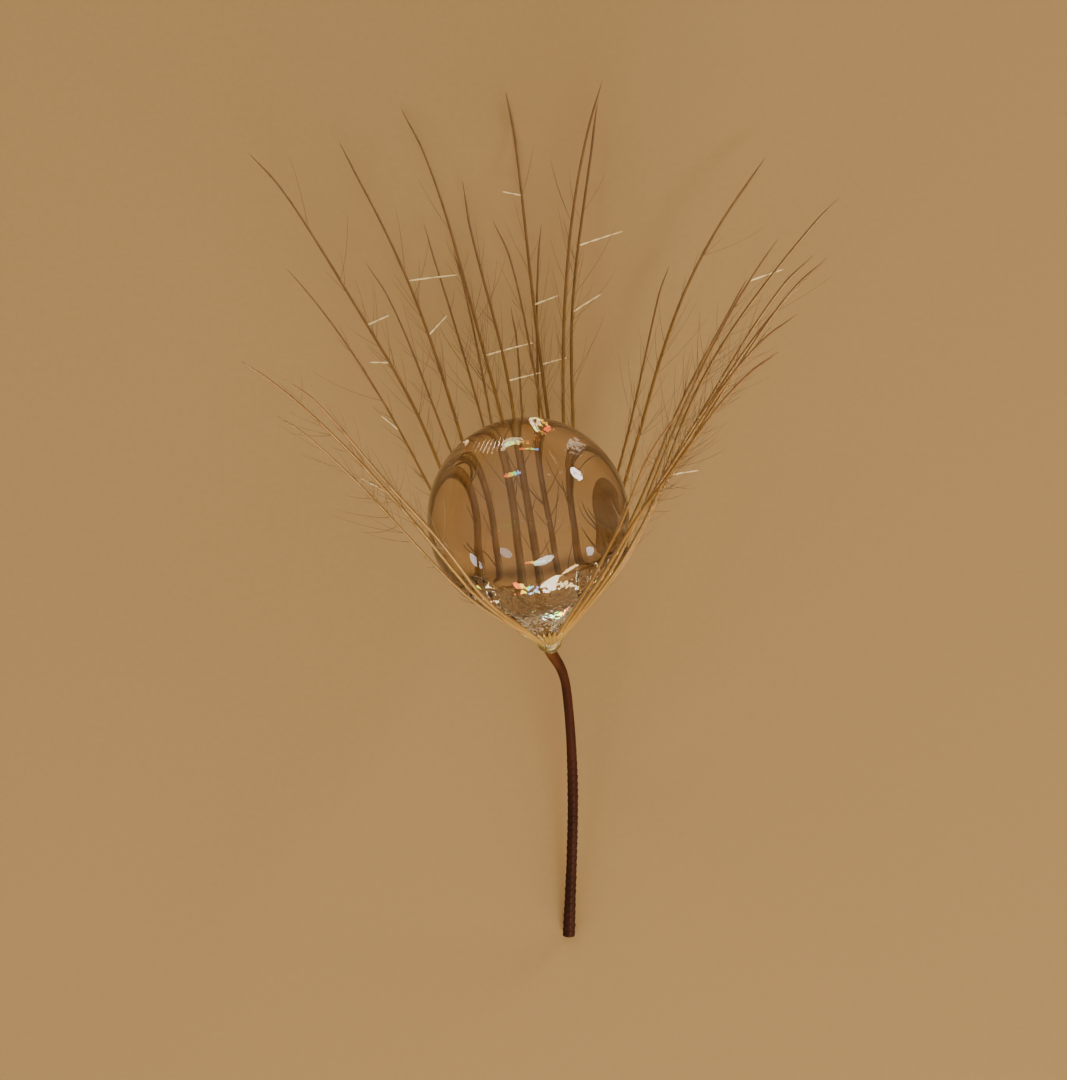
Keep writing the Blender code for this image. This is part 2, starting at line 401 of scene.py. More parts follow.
# name, direction from the drop, size in metres, power in watts, colour
soft_box("wide_box", (-0.45, 0.80, 0.75), (0.090, 0.090), 0.0085, WARM_WHITE)
soft_box("arc_box", (0.279, -0.726, 0.629), (0.020, 0.008), 0.0110, WARM_WHITE)
soft_box("low_box", (0.72, 0.66, 0.15), (0.012, 0.010), 0.0160, WARM_WHITE)
soft_box("front_box", (-0.40, -0.60, 0.69), (0.013, 0.009), 0.0024, COOL_WHITE)
soft_box("left_box", (-0.77, -0.63, 0.13), (0.014, 0.009), 0.0040, COOL_WHITE)
soft_box("right_box", (0.88, -0.47, 0.08), (0.007, 0.012), 0.0030, COOL_WHITE)
soft_box("foot_box", (0.33, -0.94, 0.10), (0.018, 0.012), 0.0260, CANDLE_WHITE)
soft_box("gold_box", (0.62, -0.78, 0.06), (0.014, 0.011), 0.0150, GOLD)

# %% [markdown]
# ## Rainbow glints
#
# Water splits white light into colours, and a glint in a real drop often has a rainbow at its
# edge. The renderer bends all colours alike, so it can't split them. A row of four tiny lamps in
# red, yellow, green and blue stands in for the split: its glint is a small rainbow on the water.

# %% Rainbow glints
RAINBOW = ((1.0, 0.16, 0.04), (1.0, 0.75, 0.05), (0.15, 1.0, 0.2), (0.25, 0.45, 1.0))
ROW_MIDDLE = (len(RAINBOW) - 1) / 2


def rainbow_lamps(name, direction, step, size, power):
    """A short row of tiny red, yellow, green and blue lamps."""
    for number, colour in enumerate(RAINBOW):
        spot = Vector(direction).normalized() + Vector(step) * (number - ROW_MIDDLE)
        soft_box(f"{name}_{number + 1}", spot, size, power, colour)


rainbow_lamps("rainbow_rim", (0.13, -0.755, 0.643), (0.090, 0.0, 0.0), (0.0050, 0.003), 0.0012)
rainbow_lamps("rainbow_top", (0.02, 1.0, 0.045), (0.070, 0.0, 0.0), (0.0035, 0.003), 0.0006)
rainbow_lamps("rainbow_high", (-0.28, 0.80, 0.57), (0.070, 0.012, 0.0), (0.004, 0.005), 0.0016)
rainbow_lamps("rainbow_foot", (-0.06, -0.99, 0.09), (0.085, 0.0, 0.0), (0.005, 0.007), 0.0050)
print("lamps:", len(bpy.data.lights))

# %% [markdown]
# ## Water finish
#
# Clear water is the Principled shader with full transmission and water's refractive index. Two
# things are added. The glass colour darkens towards grazing angles: this is a painted dark rim,
# standing in for the dark ground that the rim of a real drop shows. A very thin, almost smooth
# coat catches the lamps, which the renderer can't find through a perfectly smooth surface. The
# number called shade, which the drop carries at its vertices, is high on the ring of water that
# lies in the rays' shade, and there it darkens the glass colour as painted shade.


# %% Water finish
def make_water():
    material, shader = principled("water")
    facing = add_node(material, "ShaderNodeLayerWeight")
    facing.inputs["Blend"].default_value = 0.5
    # Painted shade: towards grazing angles the glass colour turns dark brown, a painted dark rim.
    tint = ramp(material, facing.outputs["Facing"], [
        (0.00, (0.98, 0.900, 0.730)),
        (0.42, (0.95, 0.860, 0.675)),
        (0.58, (0.50, 0.385, 0.260)),
        (0.72, (0.13, 0.080, 0.045)),
        (1.00, (0.04, 0.025, 0.015)),
    ])
    # Painted shade: where the number called shade is high, a dark ring is painted into the glass
    # colour.
    tint = blend_colours(material, tint, (0.045, 0.024, 0.018), attribute(material, "shade"))
    connect(material, tint, shader.inputs["Base Color"])
    set_values(shader, {"Roughness": 0.0, "IOR": 1.333, "Transmission Weight": 1.0,
                        "Specular IOR Level": 0.3, "Coat Weight": 0.4, "Coat Roughness": 0.02,
                        "Coat IOR": 1.333, "Coat Tint": (0.93, 0.84, 0.70, 1)})
    return material


water = make_water()

# %% [markdown]
# ## Ray finish
#
# Pappus rays are hollow hairs the colour of strong tea: gold where they leave the collar, amber
# along the middle and dull brown at the tips. The number called fine is 1 on the side hairs,
# which are thinner and look darker. A gold-tinted gloss, a little sheen and a fine bump give
# the silky look that cell walls have. Real transparency would cost much time for hairs so thin.


# %% Ray finish
def make_ray_finish():
    material, shader = principled("pappus_amber")
    colour = ramp(material, attribute(material, "along"), [
        (0.00, (0.25, 0.130, 0.024)),
        (0.08, (0.19, 0.090, 0.016)),
        (0.20, (0.165, 0.074, 0.010)),
        (0.60, (0.150, 0.066, 0.012)),
        (1.00, (0.165, 0.080, 0.034)),
    ])
    uneven = noise(material, 9000)
    dark = spread(material, uneven, 0.72, 1.05)
    colour = blend_colours(material, colour, dark, 1.0, "MULTIPLY")
    colour = blend_colours(material, colour, (0.120, 0.062, 0.024), attribute(material, "fine"))
    connect(material, colour, shader.inputs["Base Color"])
    set_values(shader, {"Roughness": 0.38, "Specular IOR Level": 0.5,
                        "Specular Tint": (1.0, 0.76, 0.45, 1), "Sheen Weight": 0.08,
                        "Sheen Tint": (1.0, 0.7, 0.35, 1)})
    add_bump(material, shader, uneven, 0.003 * MM, 0.6)
    return material


pappus_amber = make_ray_finish()

# %% [markdown]
# ## Finish of the lit hairs
#
# A few side hairs stand at the angle where they send the light back, and look pale gold. To wait
# for a lamp to strike each of them just so would be a matter of luck, so the glint is painted in:
# they have a light colour and a weak glow of their own, a painted highlight.


# %% Finish of the lit hairs
def make_glint_finish():
    material, shader = principled("lit_hair")
    # Painted highlight: this pale gold colour stands in for light glinting off the hairs.
    colour = blend_colours(material, (0.54, 0.36, 0.14), (0.72, 0.55, 0.29),
                           spread(material, noise(material, 12000), 0.0, 1.0))
    connect(material, colour, shader.inputs["Base Color"])
    # Painted highlight: a weak glow, though the hairs are no lamp.
    set_values(shader, {"Roughness": 0.3, "Specular IOR Level": 0.3,
                        "Specular Tint": (1.0, 0.82, 0.55, 1),
                        "Emission Color": (1.0, 0.80, 0.45, 1), "Emission Strength": 0.15})
    return material


lit_hair = make_glint_finish()

# %% [markdown]
# ## Beak finish
#
# The beak is a dry stalk, dark red-brown and almost black at its foot, with a warmer brown just
# under the collar where it is thin enough to let some light through. Its streaks run along it,
# so the noise is stretched along Y, the way that the seed lies. The teeth are a shade lighter.


# %% Beak finish
def make_beak_finish():
    material, shader = principled("beak_maroon")
    colour = ramp(material, attribute(material, "along"), [
        (0.00, (0.080, 0.028, 0.006)),
        (0.05, (0.055, 0.015, 0.004)),
        (0.16, (0.028, 0.006, 0.0025)),
        (0.45, (0.015, 0.0025, 0.0015)),
        (1.00, (0.011, 0.0022, 0.0015)),
    ])
    streaks = noise(material, 3000, stretch=(4.0, 0.5, 2.0))
    dark = spread(material, streaks, 0.45, 1.5)
    colour = blend_colours(material, colour, dark, 1.0, "MULTIPLY")
    colour = blend_colours(material, colour, (0.045, 0.010, 0.004), attribute(material, "fine"))
    connect(material, colour, shader.inputs["Base Color"])
    set_values(shader, {"Roughness": 0.5, "Specular IOR Level": 0.16,
                        "Specular Tint": (1.0, 0.50, 0.30, 1)})
    add_bump(material, shader, noise(material, 14000), 0.003 * MM, 0.7)
    return material


beak_maroon = make_beak_finish()

# %% [markdown]
# ## Collar finish
#
# The collar is living tissue, waxy and a little translucent: dark olive where it sits on the
# beak, golden where it opens into the rays. Light that enters such tissue comes out again a
# little further on, which is what subsurface scattering does. Its distance here is a twentieth
# of a millimetre, more than the cup's wall is thick, so the light soaks right through.


# %% Collar finish
def make_collar_finish():
    material, shader = principled("collar_gold")
    colour = ramp(material, attribute(material, "along"), [
        (0.00, (0.035, 0.022, 0.006)),
        (0.14, (0.080, 0.054, 0.009)),
        (0.30, (0.130, 0.078, 0.012)),
        (0.55, (0.190, 0.108, 0.020)),
        (1.00, (0.250, 0.142, 0.030)),
    ])
    uneven = noise(material, 7000)
    colour = blend_colours(material, colour, spread(material, uneven, 0.75, 1.1), 1.0, "MULTIPLY")
    connect(material, colour, shader.inputs["Base Color"])
    set_values(shader, {"Roughness": 0.38, "Specular Tint": (1.0, 0.82, 0.55, 1),
                        "Subsurface Weight": 0.5, "Subsurface Radius": (1.0, 0.6, 0.25),
                        "Subsurface Scale": 0.05 * MM, "Coat Weight": 0.2,
                        "Coat Roughness": 0.15})
    add_bump(material, shader, uneven, 0.004 * MM, 0.6)
    return material


collar_gold = make_collar_finish()
print("finishes:", len(bpy.data.materials))

# %% [markdown]
# ## Rods
#
# Beak, rays and hairs are all rods that bend and taper. A curve with a bevel could make them,
# but a mesh can carry numbers for the finishes and teeth on its sides. One helper grows them the
# way a glassblower pulls a thread: a circle is made at the root, its edge is extruded again and
# again, and each new ring is moved, turned and shrunk onto the next station of the line. The
# last ring is merged to a point.


# %% Grow a rod
def new_rod_mesh():
    """A bmesh with the two numbers that the finishes read at every vertex."""
    bm = bmesh.new()
    return bm, (bm.verts.layers.float.new("along"), bm.verts.layers.float.new("fine"))


def grow_rod(bm, layers, stations, radii, sides, marks, fine=0.0):
    """A tapered rod through the stations, open at its far end. Returns its rings of vertices."""
    count = len(stations)
    ways = [(stations[min(i + 1, count - 1)] - stations[max(i - 1, 0)]).normalized()
            for i in range(count)]
    place = Matrix.Translation(stations[0]) @ ways[0].to_track_quat("Z", "X").to_matrix().to_4x4()
    ring = bmesh.ops.create_circle(bm, cap_ends=True, segments=sides, radius=radii[0],
                                   matrix=place)["verts"]
    edges = list({edge for vert in ring for edge in vert.link_edges})
    rings = [ring]
    for i in range(1, count):
        grown = bmesh.ops.extrude_edge_only(bm, edges=edges)["geom"]
        ring = [item for item in grown if isinstance(item, bmesh.types.BMVert)]
        edges = [item for item in grown if isinstance(item, bmesh.types.BMEdge)]
        swing = ways[i - 1].rotation_difference(ways[i]).to_matrix().to_4x4()
        step = (Matrix.Translation(stations[i]) @ swing @ Matrix.Scale(radii[i] / radii[i - 1], 4)
                @ Matrix.Translation(-stations[i - 1]))
        bmesh.ops.transform(bm, matrix=step, verts=ring)
        rings.append(ring)
    along, fine_layer = layers
    for mark, ring in zip(marks, rings):
        for vert in ring:
            vert[along] = mark
            vert[fine_layer] = fine
    return rings


def close_tip(bm, ring, tip):
    bmesh.ops.pointmerge(bm, verts=ring, merge_co=tip)


# %% [markdown]
# ## The shape of a ray
#
# Each ray follows its line in the frame, so it keeps its true place and length. A smooth curve
# through the frame's points takes the corners out. Real rays are never quite straight, because
# they grew squeezed together in the bud: a slow wave is added, which dies away at the root and
# at the tip. A ray's root is about four hundredths of a millimetre thick. From there it thins
# slowly, then is drawn out to a point.


# %% Blend, step and curve
def mix(a, b, t):
    return a + (b - a) * t


def smooth_step(low, high, value):
    """0 below low, 1 above high, and a soft slope between them."""
    t = min(max((value - low) / (high - low), 0.0), 1.0)
    return t * t * (3 - 2 * t)


def smooth_line(points, share):
    """A point on the smooth curve through the points, at a share of the way from 0 to 1."""
    place = min(max(share, 0.0), 1.0) * (len(points) - 1)
    span = min(int(place), len(points) - 2)
    t = place - span
    ends = [2 * points[0] - points[1]] + points + [2 * points[-1] - points[-2]]
    a, b, c, d = ends[span:span + 4]
    return 0.5 * (2 * b + (c - a) * t + (2 * a - 5 * b + 4 * c - d) * t ** 2
                  + (3 * b - a - 3 * c + d) * t ** 3)


# %% [markdown]
# A ray's thickness and its wave are both read at a share of its length, from 0 at the root to
# 1 at the tip. Each ray swings in a direction of its own, square to its line, so that no two
# rays bend alike.

# %% The shape of a ray
RAY_STATIONS = 64
RAY_ROOT_RADIUS = 0.0225 * MM
RAY_TIP_RADIUS = 0.0125 * MM
RAY_THINNING = 0.9
LAST_TAPER = 0.93  # the point begins at this share of the length
POINT_SHARE = 0.35  # how thick the very end is, as a share
WAVE_HEIGHT = 0.030 * MM
WAVE_GROWS = (0.15, 0.5)  # the shares of the length between which the wave grows
WAVE_DIES = (0.9, 1.0)
LOOK_AHEAD = 0.02  # how far along the line its direction is measured


def ray_radius(share, slim):
    """Full at the root, slowly thinner, then drawn out to a point."""
    radius = mix(RAY_ROOT_RADIUS, RAY_TIP_RADIUS, share ** RAY_THINNING) * slim
    return radius * mix(1.0, POINT_SHARE, smooth_step(LAST_TAPER, 1.0, share))


def side_ways(way):
    """Two directions square to a ray: in the floor's plane, and up from it."""
    flat = way.cross(Vector((0, 0, 1))).normalized()
    return flat, flat.cross(way).normalized()


def waved_line(line, wave):
    """The ray's line as many stations, with its slow wave added."""
    turns, phase, lean = wave
    stations = []
    for i in range(RAY_STATIONS + 1):
        share = i / RAY_STATIONS
        spot = smooth_line(line, share)
        ahead = smooth_line(line, share + LOOK_AHEAD) - smooth_line(line, share - LOOK_AHEAD)
        flat, up = side_ways(ahead.normalized())
        size = WAVE_HEIGHT * smooth_step(*WAVE_GROWS, share) * (1 - smooth_step(*WAVE_DIES, share))
        swing = size * math.sin(2 * math.pi * (turns * share + phase))
        stations.append(spot + flat * swing * math.cos(lean) + up * swing * abs(math.sin(lean)))
    return stations


# %% [markdown]
# ## Side hairs
#
# Hairs as fine as spider silk grow from the sides of every ray and point forward, most of them
# on its middle. There are over a thousand, so each is a three-sided rod of a few rings. A
# particle system would scatter them too, but it is harder to keep inside the frame's box and
# can't be exported as plain meshes. Their places are drawn from one fixed seed of chance, so the
# object is the same at every run. Hairs beside the drop stay short: the water has laid them flat.

# %% A hair's line
HAIR_CURL = 0.5
BOX_MARGIN = 0.01 * MM


def inside_frame(points):
    """Whether all the points keep inside the frame's box, a hair's width in from it."""
    return all(low + BOX_MARGIN < value < high - BOX_MARGIN
               for point in points for value, low, high in zip(point, cad_low, cad_high))


def hair_line(start, way, curl_to, length, steps):
    """A fine hair's stations: it leaves along way and curls slowly towards curl_to."""
    points = [start]
    for i in range(steps):
        heading = way.lerp(curl_to, HAIR_CURL * (i / steps)).normalized()
        points.append(points[-1] + heading * length / steps)
    return points


# %% [markdown]
# Where a hair sits, how far it opens and how long it is are all drawn by chance, each within
# limits. A triangular draw favours the usual value. A hair that would leave the frame's box
# isn't grown at all, because a shortened one would show a row of ends along the box.

# %% Side hairs
HAIR_RADIUS = 0.0036 * MM
HAIR_SIDES = 3
HAIR_STEPS = 5
HAIR_SPACING = 0.125 * MM
HAIR_PLACES = (0.14, 0.86, 0.42)  # shares of the ray's length: lowest, highest, usual
HAIR_OPENING = (14, 48)  # degrees between a hair and its ray
HAIR_LENGTHS = (0.15, 0.95, 0.30)  # in mm: shortest, longest, usual
HAIR_TAPER = 0.6
BESIDE_DROP = 1.55 * MM  # hairs this close to the drop's middle stay short
SHORT_HAIR = 0.4

randomness = random.Random(29)


def grow_side_hairs(bm, layers, stations, count):
    """Fine hairs from the sides of a ray, pointing forward. Returns how many were grown."""
    grown = 0
    for _ in range(count):
        share = randomness.triangular(*HAIR_PLACES)
        place = int(share * RAY_STATIONS)
        way = (stations[place + 1] - stations[place]).normalized()
        flat, up = side_ways(way)
        turn = randomness.uniform(0, 2 * math.pi)
        side = flat * math.cos(turn) + up * math.sin(turn)
        opening = math.radians(randomness.uniform(*HAIR_OPENING))
        heading = way * math.cos(opening) + side * math.sin(opening)
        near_drop = (stations[place] - drop_centre).length < BESIDE_DROP
        length = randomness.triangular(*HAIR_LENGTHS) * MM * (SHORT_HAIR if near_drop else 1.0)
        line = hair_line(stations[place], heading, way, length, HAIR_STEPS)
        if not inside_frame(line):
            continue
        radii = [HAIR_RADIUS * (1 - HAIR_TAPER * i / HAIR_STEPS) for i in range(HAIR_STEPS + 1)]
        rings = grow_rod(bm, layers, line, radii, HAIR_SIDES, [share] * (HAIR_STEPS + 1), 1.0)
        close_tip(bm, rings[-1], line[-1])
        grown += 1
    return grown


# %% [markdown]
# ## Growing every ray
#
# Now each ray of the frame gets its finished ray: the waved line, the rod along it and the hairs
# on its sides, all in one mesh. The foot reaches a little back into the collar's wall, where the
# real rays are fused together. Short rays are also slimmer, as on the real seed.

# %% Grow every ray
RAY_ROUND = 10
RAY_BACK = 0.05 * MM  # how far a ray's foot reaches back into the collar's wall
SLIM_RAY = 4.6 * MM  # rays shorter than this are slimmer
WAVE_TURNS = (0.8, 1.7)


def line_length(points):
    return sum((b - a).length for a, b in zip(points, points[1:]))


ray_stations = {}
hairs = 0
for name in ray_names:
    length = line_length(ray_lines[name])
    slim = 0.74 if length < SLIM_RAY else 0.95
    wave = (randomness.uniform(*WAVE_TURNS), randomness.random(), randomness.uniform(0, math.pi))
    stations = waved_line(ray_lines[name], wave)
    ray_stations[name] = stations
    root = stations[0] - (stations[1] - stations[0]).normalized() * RAY_BACK
    bm, layers = new_rod_mesh()
    marks = [0.0] + [i / RAY_STATIONS for i in range(RAY_STATIONS + 1)]
    radii = [ray_radius(mark, slim) for mark in marks]
    rings = grow_rod(bm, layers, [root] + stations, radii, RAY_ROUND, marks)
    close_tip(bm, rings[-1], stations[-1])
    hairs += grow_side_hairs(bm, layers, stations, int(length / HAIR_SPACING))
    bmesh.ops.recalc_face_normals(bm, faces=bm.faces)
    ray = link_piece(bm, f"pappus_{name}", pappus_amber)
    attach(ray, "root")
    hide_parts(name)
print("rays grown:", len(ray_names), "side hairs:", hairs)

# %% [markdown]
# ## Lit hairs
#
# The hairs that catch the light stand out as bright dashes, each at its own angle. Damp air has
# beaded on them, so each is a row of tiny beads on a thread. Separate balls on a string would
# leave seams inside. Swelling the rod's radius again and again makes the same beads in one
# closed skin.

# %% Where the lit hairs are
THREAD_MM = 0.0028  # the radius between two beads, and at a bead's middle
BEAD_MM = 0.0095
BEAD_ROUNDNESS = 0.6
LIT_TAPER = 0.4

LIT_HAIRS = [
    # ray, height above the beak's top in mm, angle from level, length in mm, beads
    ("ray_10", 2.97, 16, 0.50, 5),
    ("ray_09", 2.68, 15, 0.34, 3),
    ("ray_06", 2.80, 16, 0.27, 3),
    ("ray_03", 4.03, 19, 0.47, 4),
    ("ray_03", 3.34, 33, 0.34, 3),
    ("ray_13", 3.70, 8, 0.50, 2),
    ("ray_13", 3.10, 48, 0.27, 3),
    ("ray_06", 3.40, 22, 0.27, 2),
    ("ray_06", 4.55, 168, 0.20, 2),
    ("ray_15", 2.86, 178, 0.20, 2),
    ("ray_16", 2.20, 140, 0.24, 2),
    ("ray_28", 3.66, 20, 0.36, 2),
    ("ray_18", 1.55, 152, 0.30, 3),
    ("ray_24", 1.75, 10, 0.28, 2),
    ("ray_15", 3.25, 25, 0.24, 2),
]


def place_on_ray(name, height):
    """The station of a ray that is at a height above the beak's top, as the camera sees it."""
    stations = ray_stations[name]
    return min(stations, key=lambda spot: abs((spot - beak_top).dot(picture_up) - height))


def bead_radius(share, beads):
    """The swelling of a lit hair along its length."""
    swell = abs(math.sin(math.pi * beads * share)) ** BEAD_ROUNDNESS
    return mix(THREAD_MM, BEAD_MM, swell) * MM * (1 - LIT_TAPER * share)


# %% [markdown]
# Each lit hair is grown like a ray, with more stations for its length, because the beads need
# them. It leaves its ray at its own angle and droops a little under the weight of the beads.

# %% Grow the lit hairs
LIT_STEPS = 40
LIT_SIDES = 6
DROOP = 0.08

for number, (name, height, angle, length, beads) in enumerate(LIT_HAIRS, 1):
    start = place_on_ray(name, height * MM)
    angle = math.radians(angle)
    heading = picture_right * math.cos(angle) + picture_up * math.sin(angle)
    drooped = (heading - picture_up * DROOP).normalized()
    line = hair_line(start, heading, drooped, length * MM, LIT_STEPS)
    marks = [i / LIT_STEPS for i in range(LIT_STEPS + 1)]
    radii = [bead_radius(mark, beads) for mark in marks]
    bm, layers = new_rod_mesh()
    rings = grow_rod(bm, layers, line, radii, LIT_SIDES, marks, 1.0)
    close_tip(bm, rings[-1], line[-1])
    bmesh.ops.recalc_face_normals(bm, faces=bm.faces)
    hair = link_piece(bm, f"lit_hair_{number:02d}", lit_hair)
    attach(hair, "root")
print("lit hairs:", len(LIT_HAIRS))

# %% [markdown]
# ## Slicing the beak
#
# The beak is the stalk that lifts the pappus above the seed's body. In the frame it is a tube
# whose long triangles skip from ring to ring, so the edge walk that served for the rays would
# lose its way. The beak lies nearly along Y: cutting it with planes square to Y, as one slices
# a carrot, gives its middle and its radius at each cut.

# %% Slice the beak
BEAK_SLICES = 24
TOP_REACH = 0.5  # the line goes on past the first slice by half a slice
FOOT_REACH = 0.30  # and past the last by less, so that the ribs stay inside


def cut_slices(node, count):
    """Middles and radii of a tube's cross-sections, from its +Y end to its -Y end."""
    low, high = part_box(node)
    middles, radii = [], []
    for i in range(count):
        level = mix(high.y, low.y, (i + 0.5) / count)
        bm = merged_copy(node)
        cut = bmesh.ops.bisect_plane(bm, geom=bm.verts[:] + bm.edges[:] + bm.faces[:],
                                     plane_co=(0, level, 0), plane_no=(0, 1, 0))["geom_cut"]
        spots = [item.co for item in cut if isinstance(item, bmesh.types.BMVert)]
        corners = [(min(spot[axis] for spot in spots), max(spot[axis] for spot in spots))
                   for axis in range(3)]
        middles.append(Vector([sum(pair) / 2 for pair in corners]))
        radii.append((corners[0][1] - corners[0][0]) / 2)
        bm.free()
    return middles, radii


beak_line, beak_radii = cut_slices("beak", BEAK_SLICES)
beak_line = [beak_line[0] + (beak_line[0] - beak_line[1]) * TOP_REACH] + beak_line
beak_line += [beak_line[-1] + (beak_line[-1] - beak_line[-2]) * FOOT_REACH]
beak_radii = beak_radii[:1] + beak_radii + beak_radii[-1:]
beak_length = line_length(beak_line)
print("beak length in mm:", round(beak_length / MM, 2))

# %% [markdown]
# ## Beak
#
# The real beak is smooth for the first millimetre below the collar. Further down its ribs carry
# rows of small teeth that point up, which are what makes a dandelion seed cling to wool. The
# teeth could be a bump in the finish, but they show in the beak's outline, so they have to be
# shape. The rod is grown with three vertices to a rib, then the one on the rib is pushed out in
# a saw-tooth pattern and the two beside it are sunk a little. Noise makes the teeth uneven.

# %% The beak's thickness and its teeth
BEAK_RIBS = 8
RIB_SHIFT = 0.13  # each rib's teeth start a little later than the last one's
TOOTH_PITCH = 0.070 * MM
TOOTH_POINT = 1.4
TOOTH_SIZES = (0.35, 1.15)


def beak_size(share):
    """The beak's radius at a share of its length, read from the frame's slices."""
    place = share * (len(beak_radii) - 1)
    ring = min(int(place), len(beak_radii) - 2)
    return mix(beak_radii[ring], beak_radii[ring + 1], place - ring)


def tooth_at(mark, rib):
    """The saw-tooth pattern on a rib, from 0 to about 1."""
    shift = 0.5 * (rib % 2) + RIB_SHIFT * rib
    number, rise = divmod(mark * beak_length / TOOTH_PITCH + shift, 1.0)
    uneven = 0.5 + 0.5 * hills.noise(Vector((number * 1.7, rib * 2.3, 0.5)))
    return (1 - rise) ** TOOTH_POINT * mix(*TOOTH_SIZES, uneven)

# %% [markdown]
# The teeth fade in below the smooth part and stop just short of the foot, which stays a plain
# round end for the seed to rest on.

# %% Grow the beak
BEAK_ROUND = 24
BEAK_STATIONS = 330
GROOVE_MM = 0.0025
TOOTH_HEIGHT = 0.010 * MM
TEETH_START = 0.30  # share of the length, from the top, where the teeth begin
TEETH_GROW = 0.15
FOOT_PLAIN = 0.01

bm, layers = new_rod_mesh()
marks = [i / BEAK_STATIONS for i in range(BEAK_STATIONS + 1)]
stations = [smooth_line(beak_line, mark) for mark in marks]
radii = [beak_size(mark) for mark in marks]
rings = grow_rod(bm, layers, stations, radii, BEAK_ROUND, marks)
for mark, middle, ring in zip(marks, stations, rings):
    toothed = (smooth_step(TEETH_START, TEETH_START + TEETH_GROW, mark)
               * smooth_step(0.0, FOOT_PLAIN, 1 - mark))
    for side, vert in enumerate(ring):
        rib, step = divmod(side, BEAK_ROUND // BEAK_RIBS)
        out = (vert.co - middle).normalized()
        if step:
            vert.co -= out * GROOVE_MM * MM * (1 - toothed * 0.5)
            continue
        tooth = tooth_at(mark, rib)
        vert.co += out * TOOTH_HEIGHT * toothed * tooth
        vert[layers[1]] = toothed * tooth * 0.5
bmesh.ops.contextual_create(bm, geom=rings[-1])
bmesh.ops.recalc_face_normals(bm, faces=bm.faces)
beak = link_piece(bm, "ribbed_beak", beak_maroon)
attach(beak, "root")
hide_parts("beak")
print("beak faces:", len(beak.data.polygons))

# %% [markdown]
# ## Places round the head's axis
#
# The collar and the drop are both made in the same way: an outline is drawn on one side of the
# head's axis and spun round it, then the skin is drawn out where a ray meets it. Both need to
# know how far a point is from the axis, its turn round it and its height above the beak's top.


# %% Places round the head's axis
def head_point(radius, turn, height):
    return (beak_top + head_axis * height
            + (across * math.cos(turn) + under * math.sin(turn)) * radius)


def head_place(point):
    away = point - beak_top
    x, y = away.dot(across), away.dot(under)
    return math.hypot(x, y), math.atan2(y, x), away.dot(head_axis)


def turn_gap(a, b):
    """The smaller angle between two turns."""
    return abs((a - b + math.pi) % (2 * math.pi) - math.pi)


def spin_outline(outline, steps):
    """A closed skin from (radius, height) points spun round the head's axis."""
    bm = bmesh.new()
    verts = [bm.verts.new(head_point(radius, 0, height)) for radius, height in outline]
    edges = [bm.edges.new(pair) for pair in zip(verts, verts[1:])]
    bmesh.ops.spin(bm, geom=verts + edges, cent=beak_top, axis=head_axis, angle=2 * math.pi,
                   steps=steps, use_merge=True)
    bmesh.ops.remove_doubles(bm, verts=bm.verts, dist=0.0001 * MM)
    return bm


# %% [markdown]
# ## The collar's outline
#
# The rays' feet are fused into a small cup on top of the beak. The cup's inner wall lies against
# the water, its outer wall is a little further out, and below it narrows to a neck that sits on
# the beak. Its outline starts in the middle of the cup's floor, goes up the inner wall, over the
# rim, down the outer wall, round the belly and in to the axis again, so the spun skin is closed.

# %% Draw the collar's outline
WALL_LEAN = math.radians(48.0)
RIM_FROM_TOP = 0.42 * MM  # the webbing's edge, measured along the wall


def on_wall(distance, offset):
    """A point of the cup's wall: distance along it, and offset outwards from the water."""
    return (distance * math.sin(WALL_LEAN) + offset * math.cos(WALL_LEAN),
            distance * math.cos(WALL_LEAN) - offset * math.sin(WALL_LEAN))


cup_outline = [(0.0, 0.050 * MM), (0.040 * MM, 0.052 * MM)]
cup_outline += [on_wall(d * MM, -0.008 * MM) for d in (0.12, 0.18, 0.24, 0.30, 0.36)]
cup_outline += [on_wall(RIM_FROM_TOP, -0.004 * MM), on_wall(RIM_FROM_TOP, 0.004 * MM)]
cup_outline += [on_wall(d * MM, o * MM) for d, o in (
    (0.38, 0.010), (0.33, 0.014), (0.28, 0.016), (0.23, 0.017), (0.19, 0.018), (0.155, 0.019))]
cup_outline += [(r * MM, h * MM) for r, h in (
    (0.121, 0.066), (0.117, 0.046), (0.115, 0.030), (0.109, 0.014), (0.098, 0.001),
    (0.084, -0.010), (0.071, -0.019), (0.062, -0.030), (0.056, -0.044), (0.0, -0.046))]
print("points on the collar's outline:", len(cup_outline))

# %% [markdown]
# ## Where the collar's ribs are
#
# Seen close, the cup's wall is made of the rays' feet: a rib runs up it to every ray. On the
# side where no ray is left, short stubs of feet fill the wall at even steps.

# %% Find the ribs
STUB_SPACING = math.radians(11.0)
STUB_CLEARANCE = 0.7  # a stub keeps this share of the spacing from any ray

root_turns = {name: head_place(line[0])[1] for name, line in ray_lines.items()}
stubs = []
turn = 0.0
while turn < 2 * math.pi:
    if all(turn_gap(turn, other) > STUB_SPACING * STUB_CLEARANCE for other in root_turns.values()):
        stubs.append(turn)
    turn += STUB_SPACING
rib_turns = list(root_turns.values()) + stubs
print("ribs:", len(rib_turns), "of them stubs:", len(stubs))

# %% [markdown]
# ## Collar
#
# The outline is spun in fine steps, so that each rib is a few vertices wide. Then the wall is
# pushed out at every rib, and between two ribs the rim is pulled down, like webbing between
# toes. A soft bulge on one side keeps the neck from looking turned on a lathe.

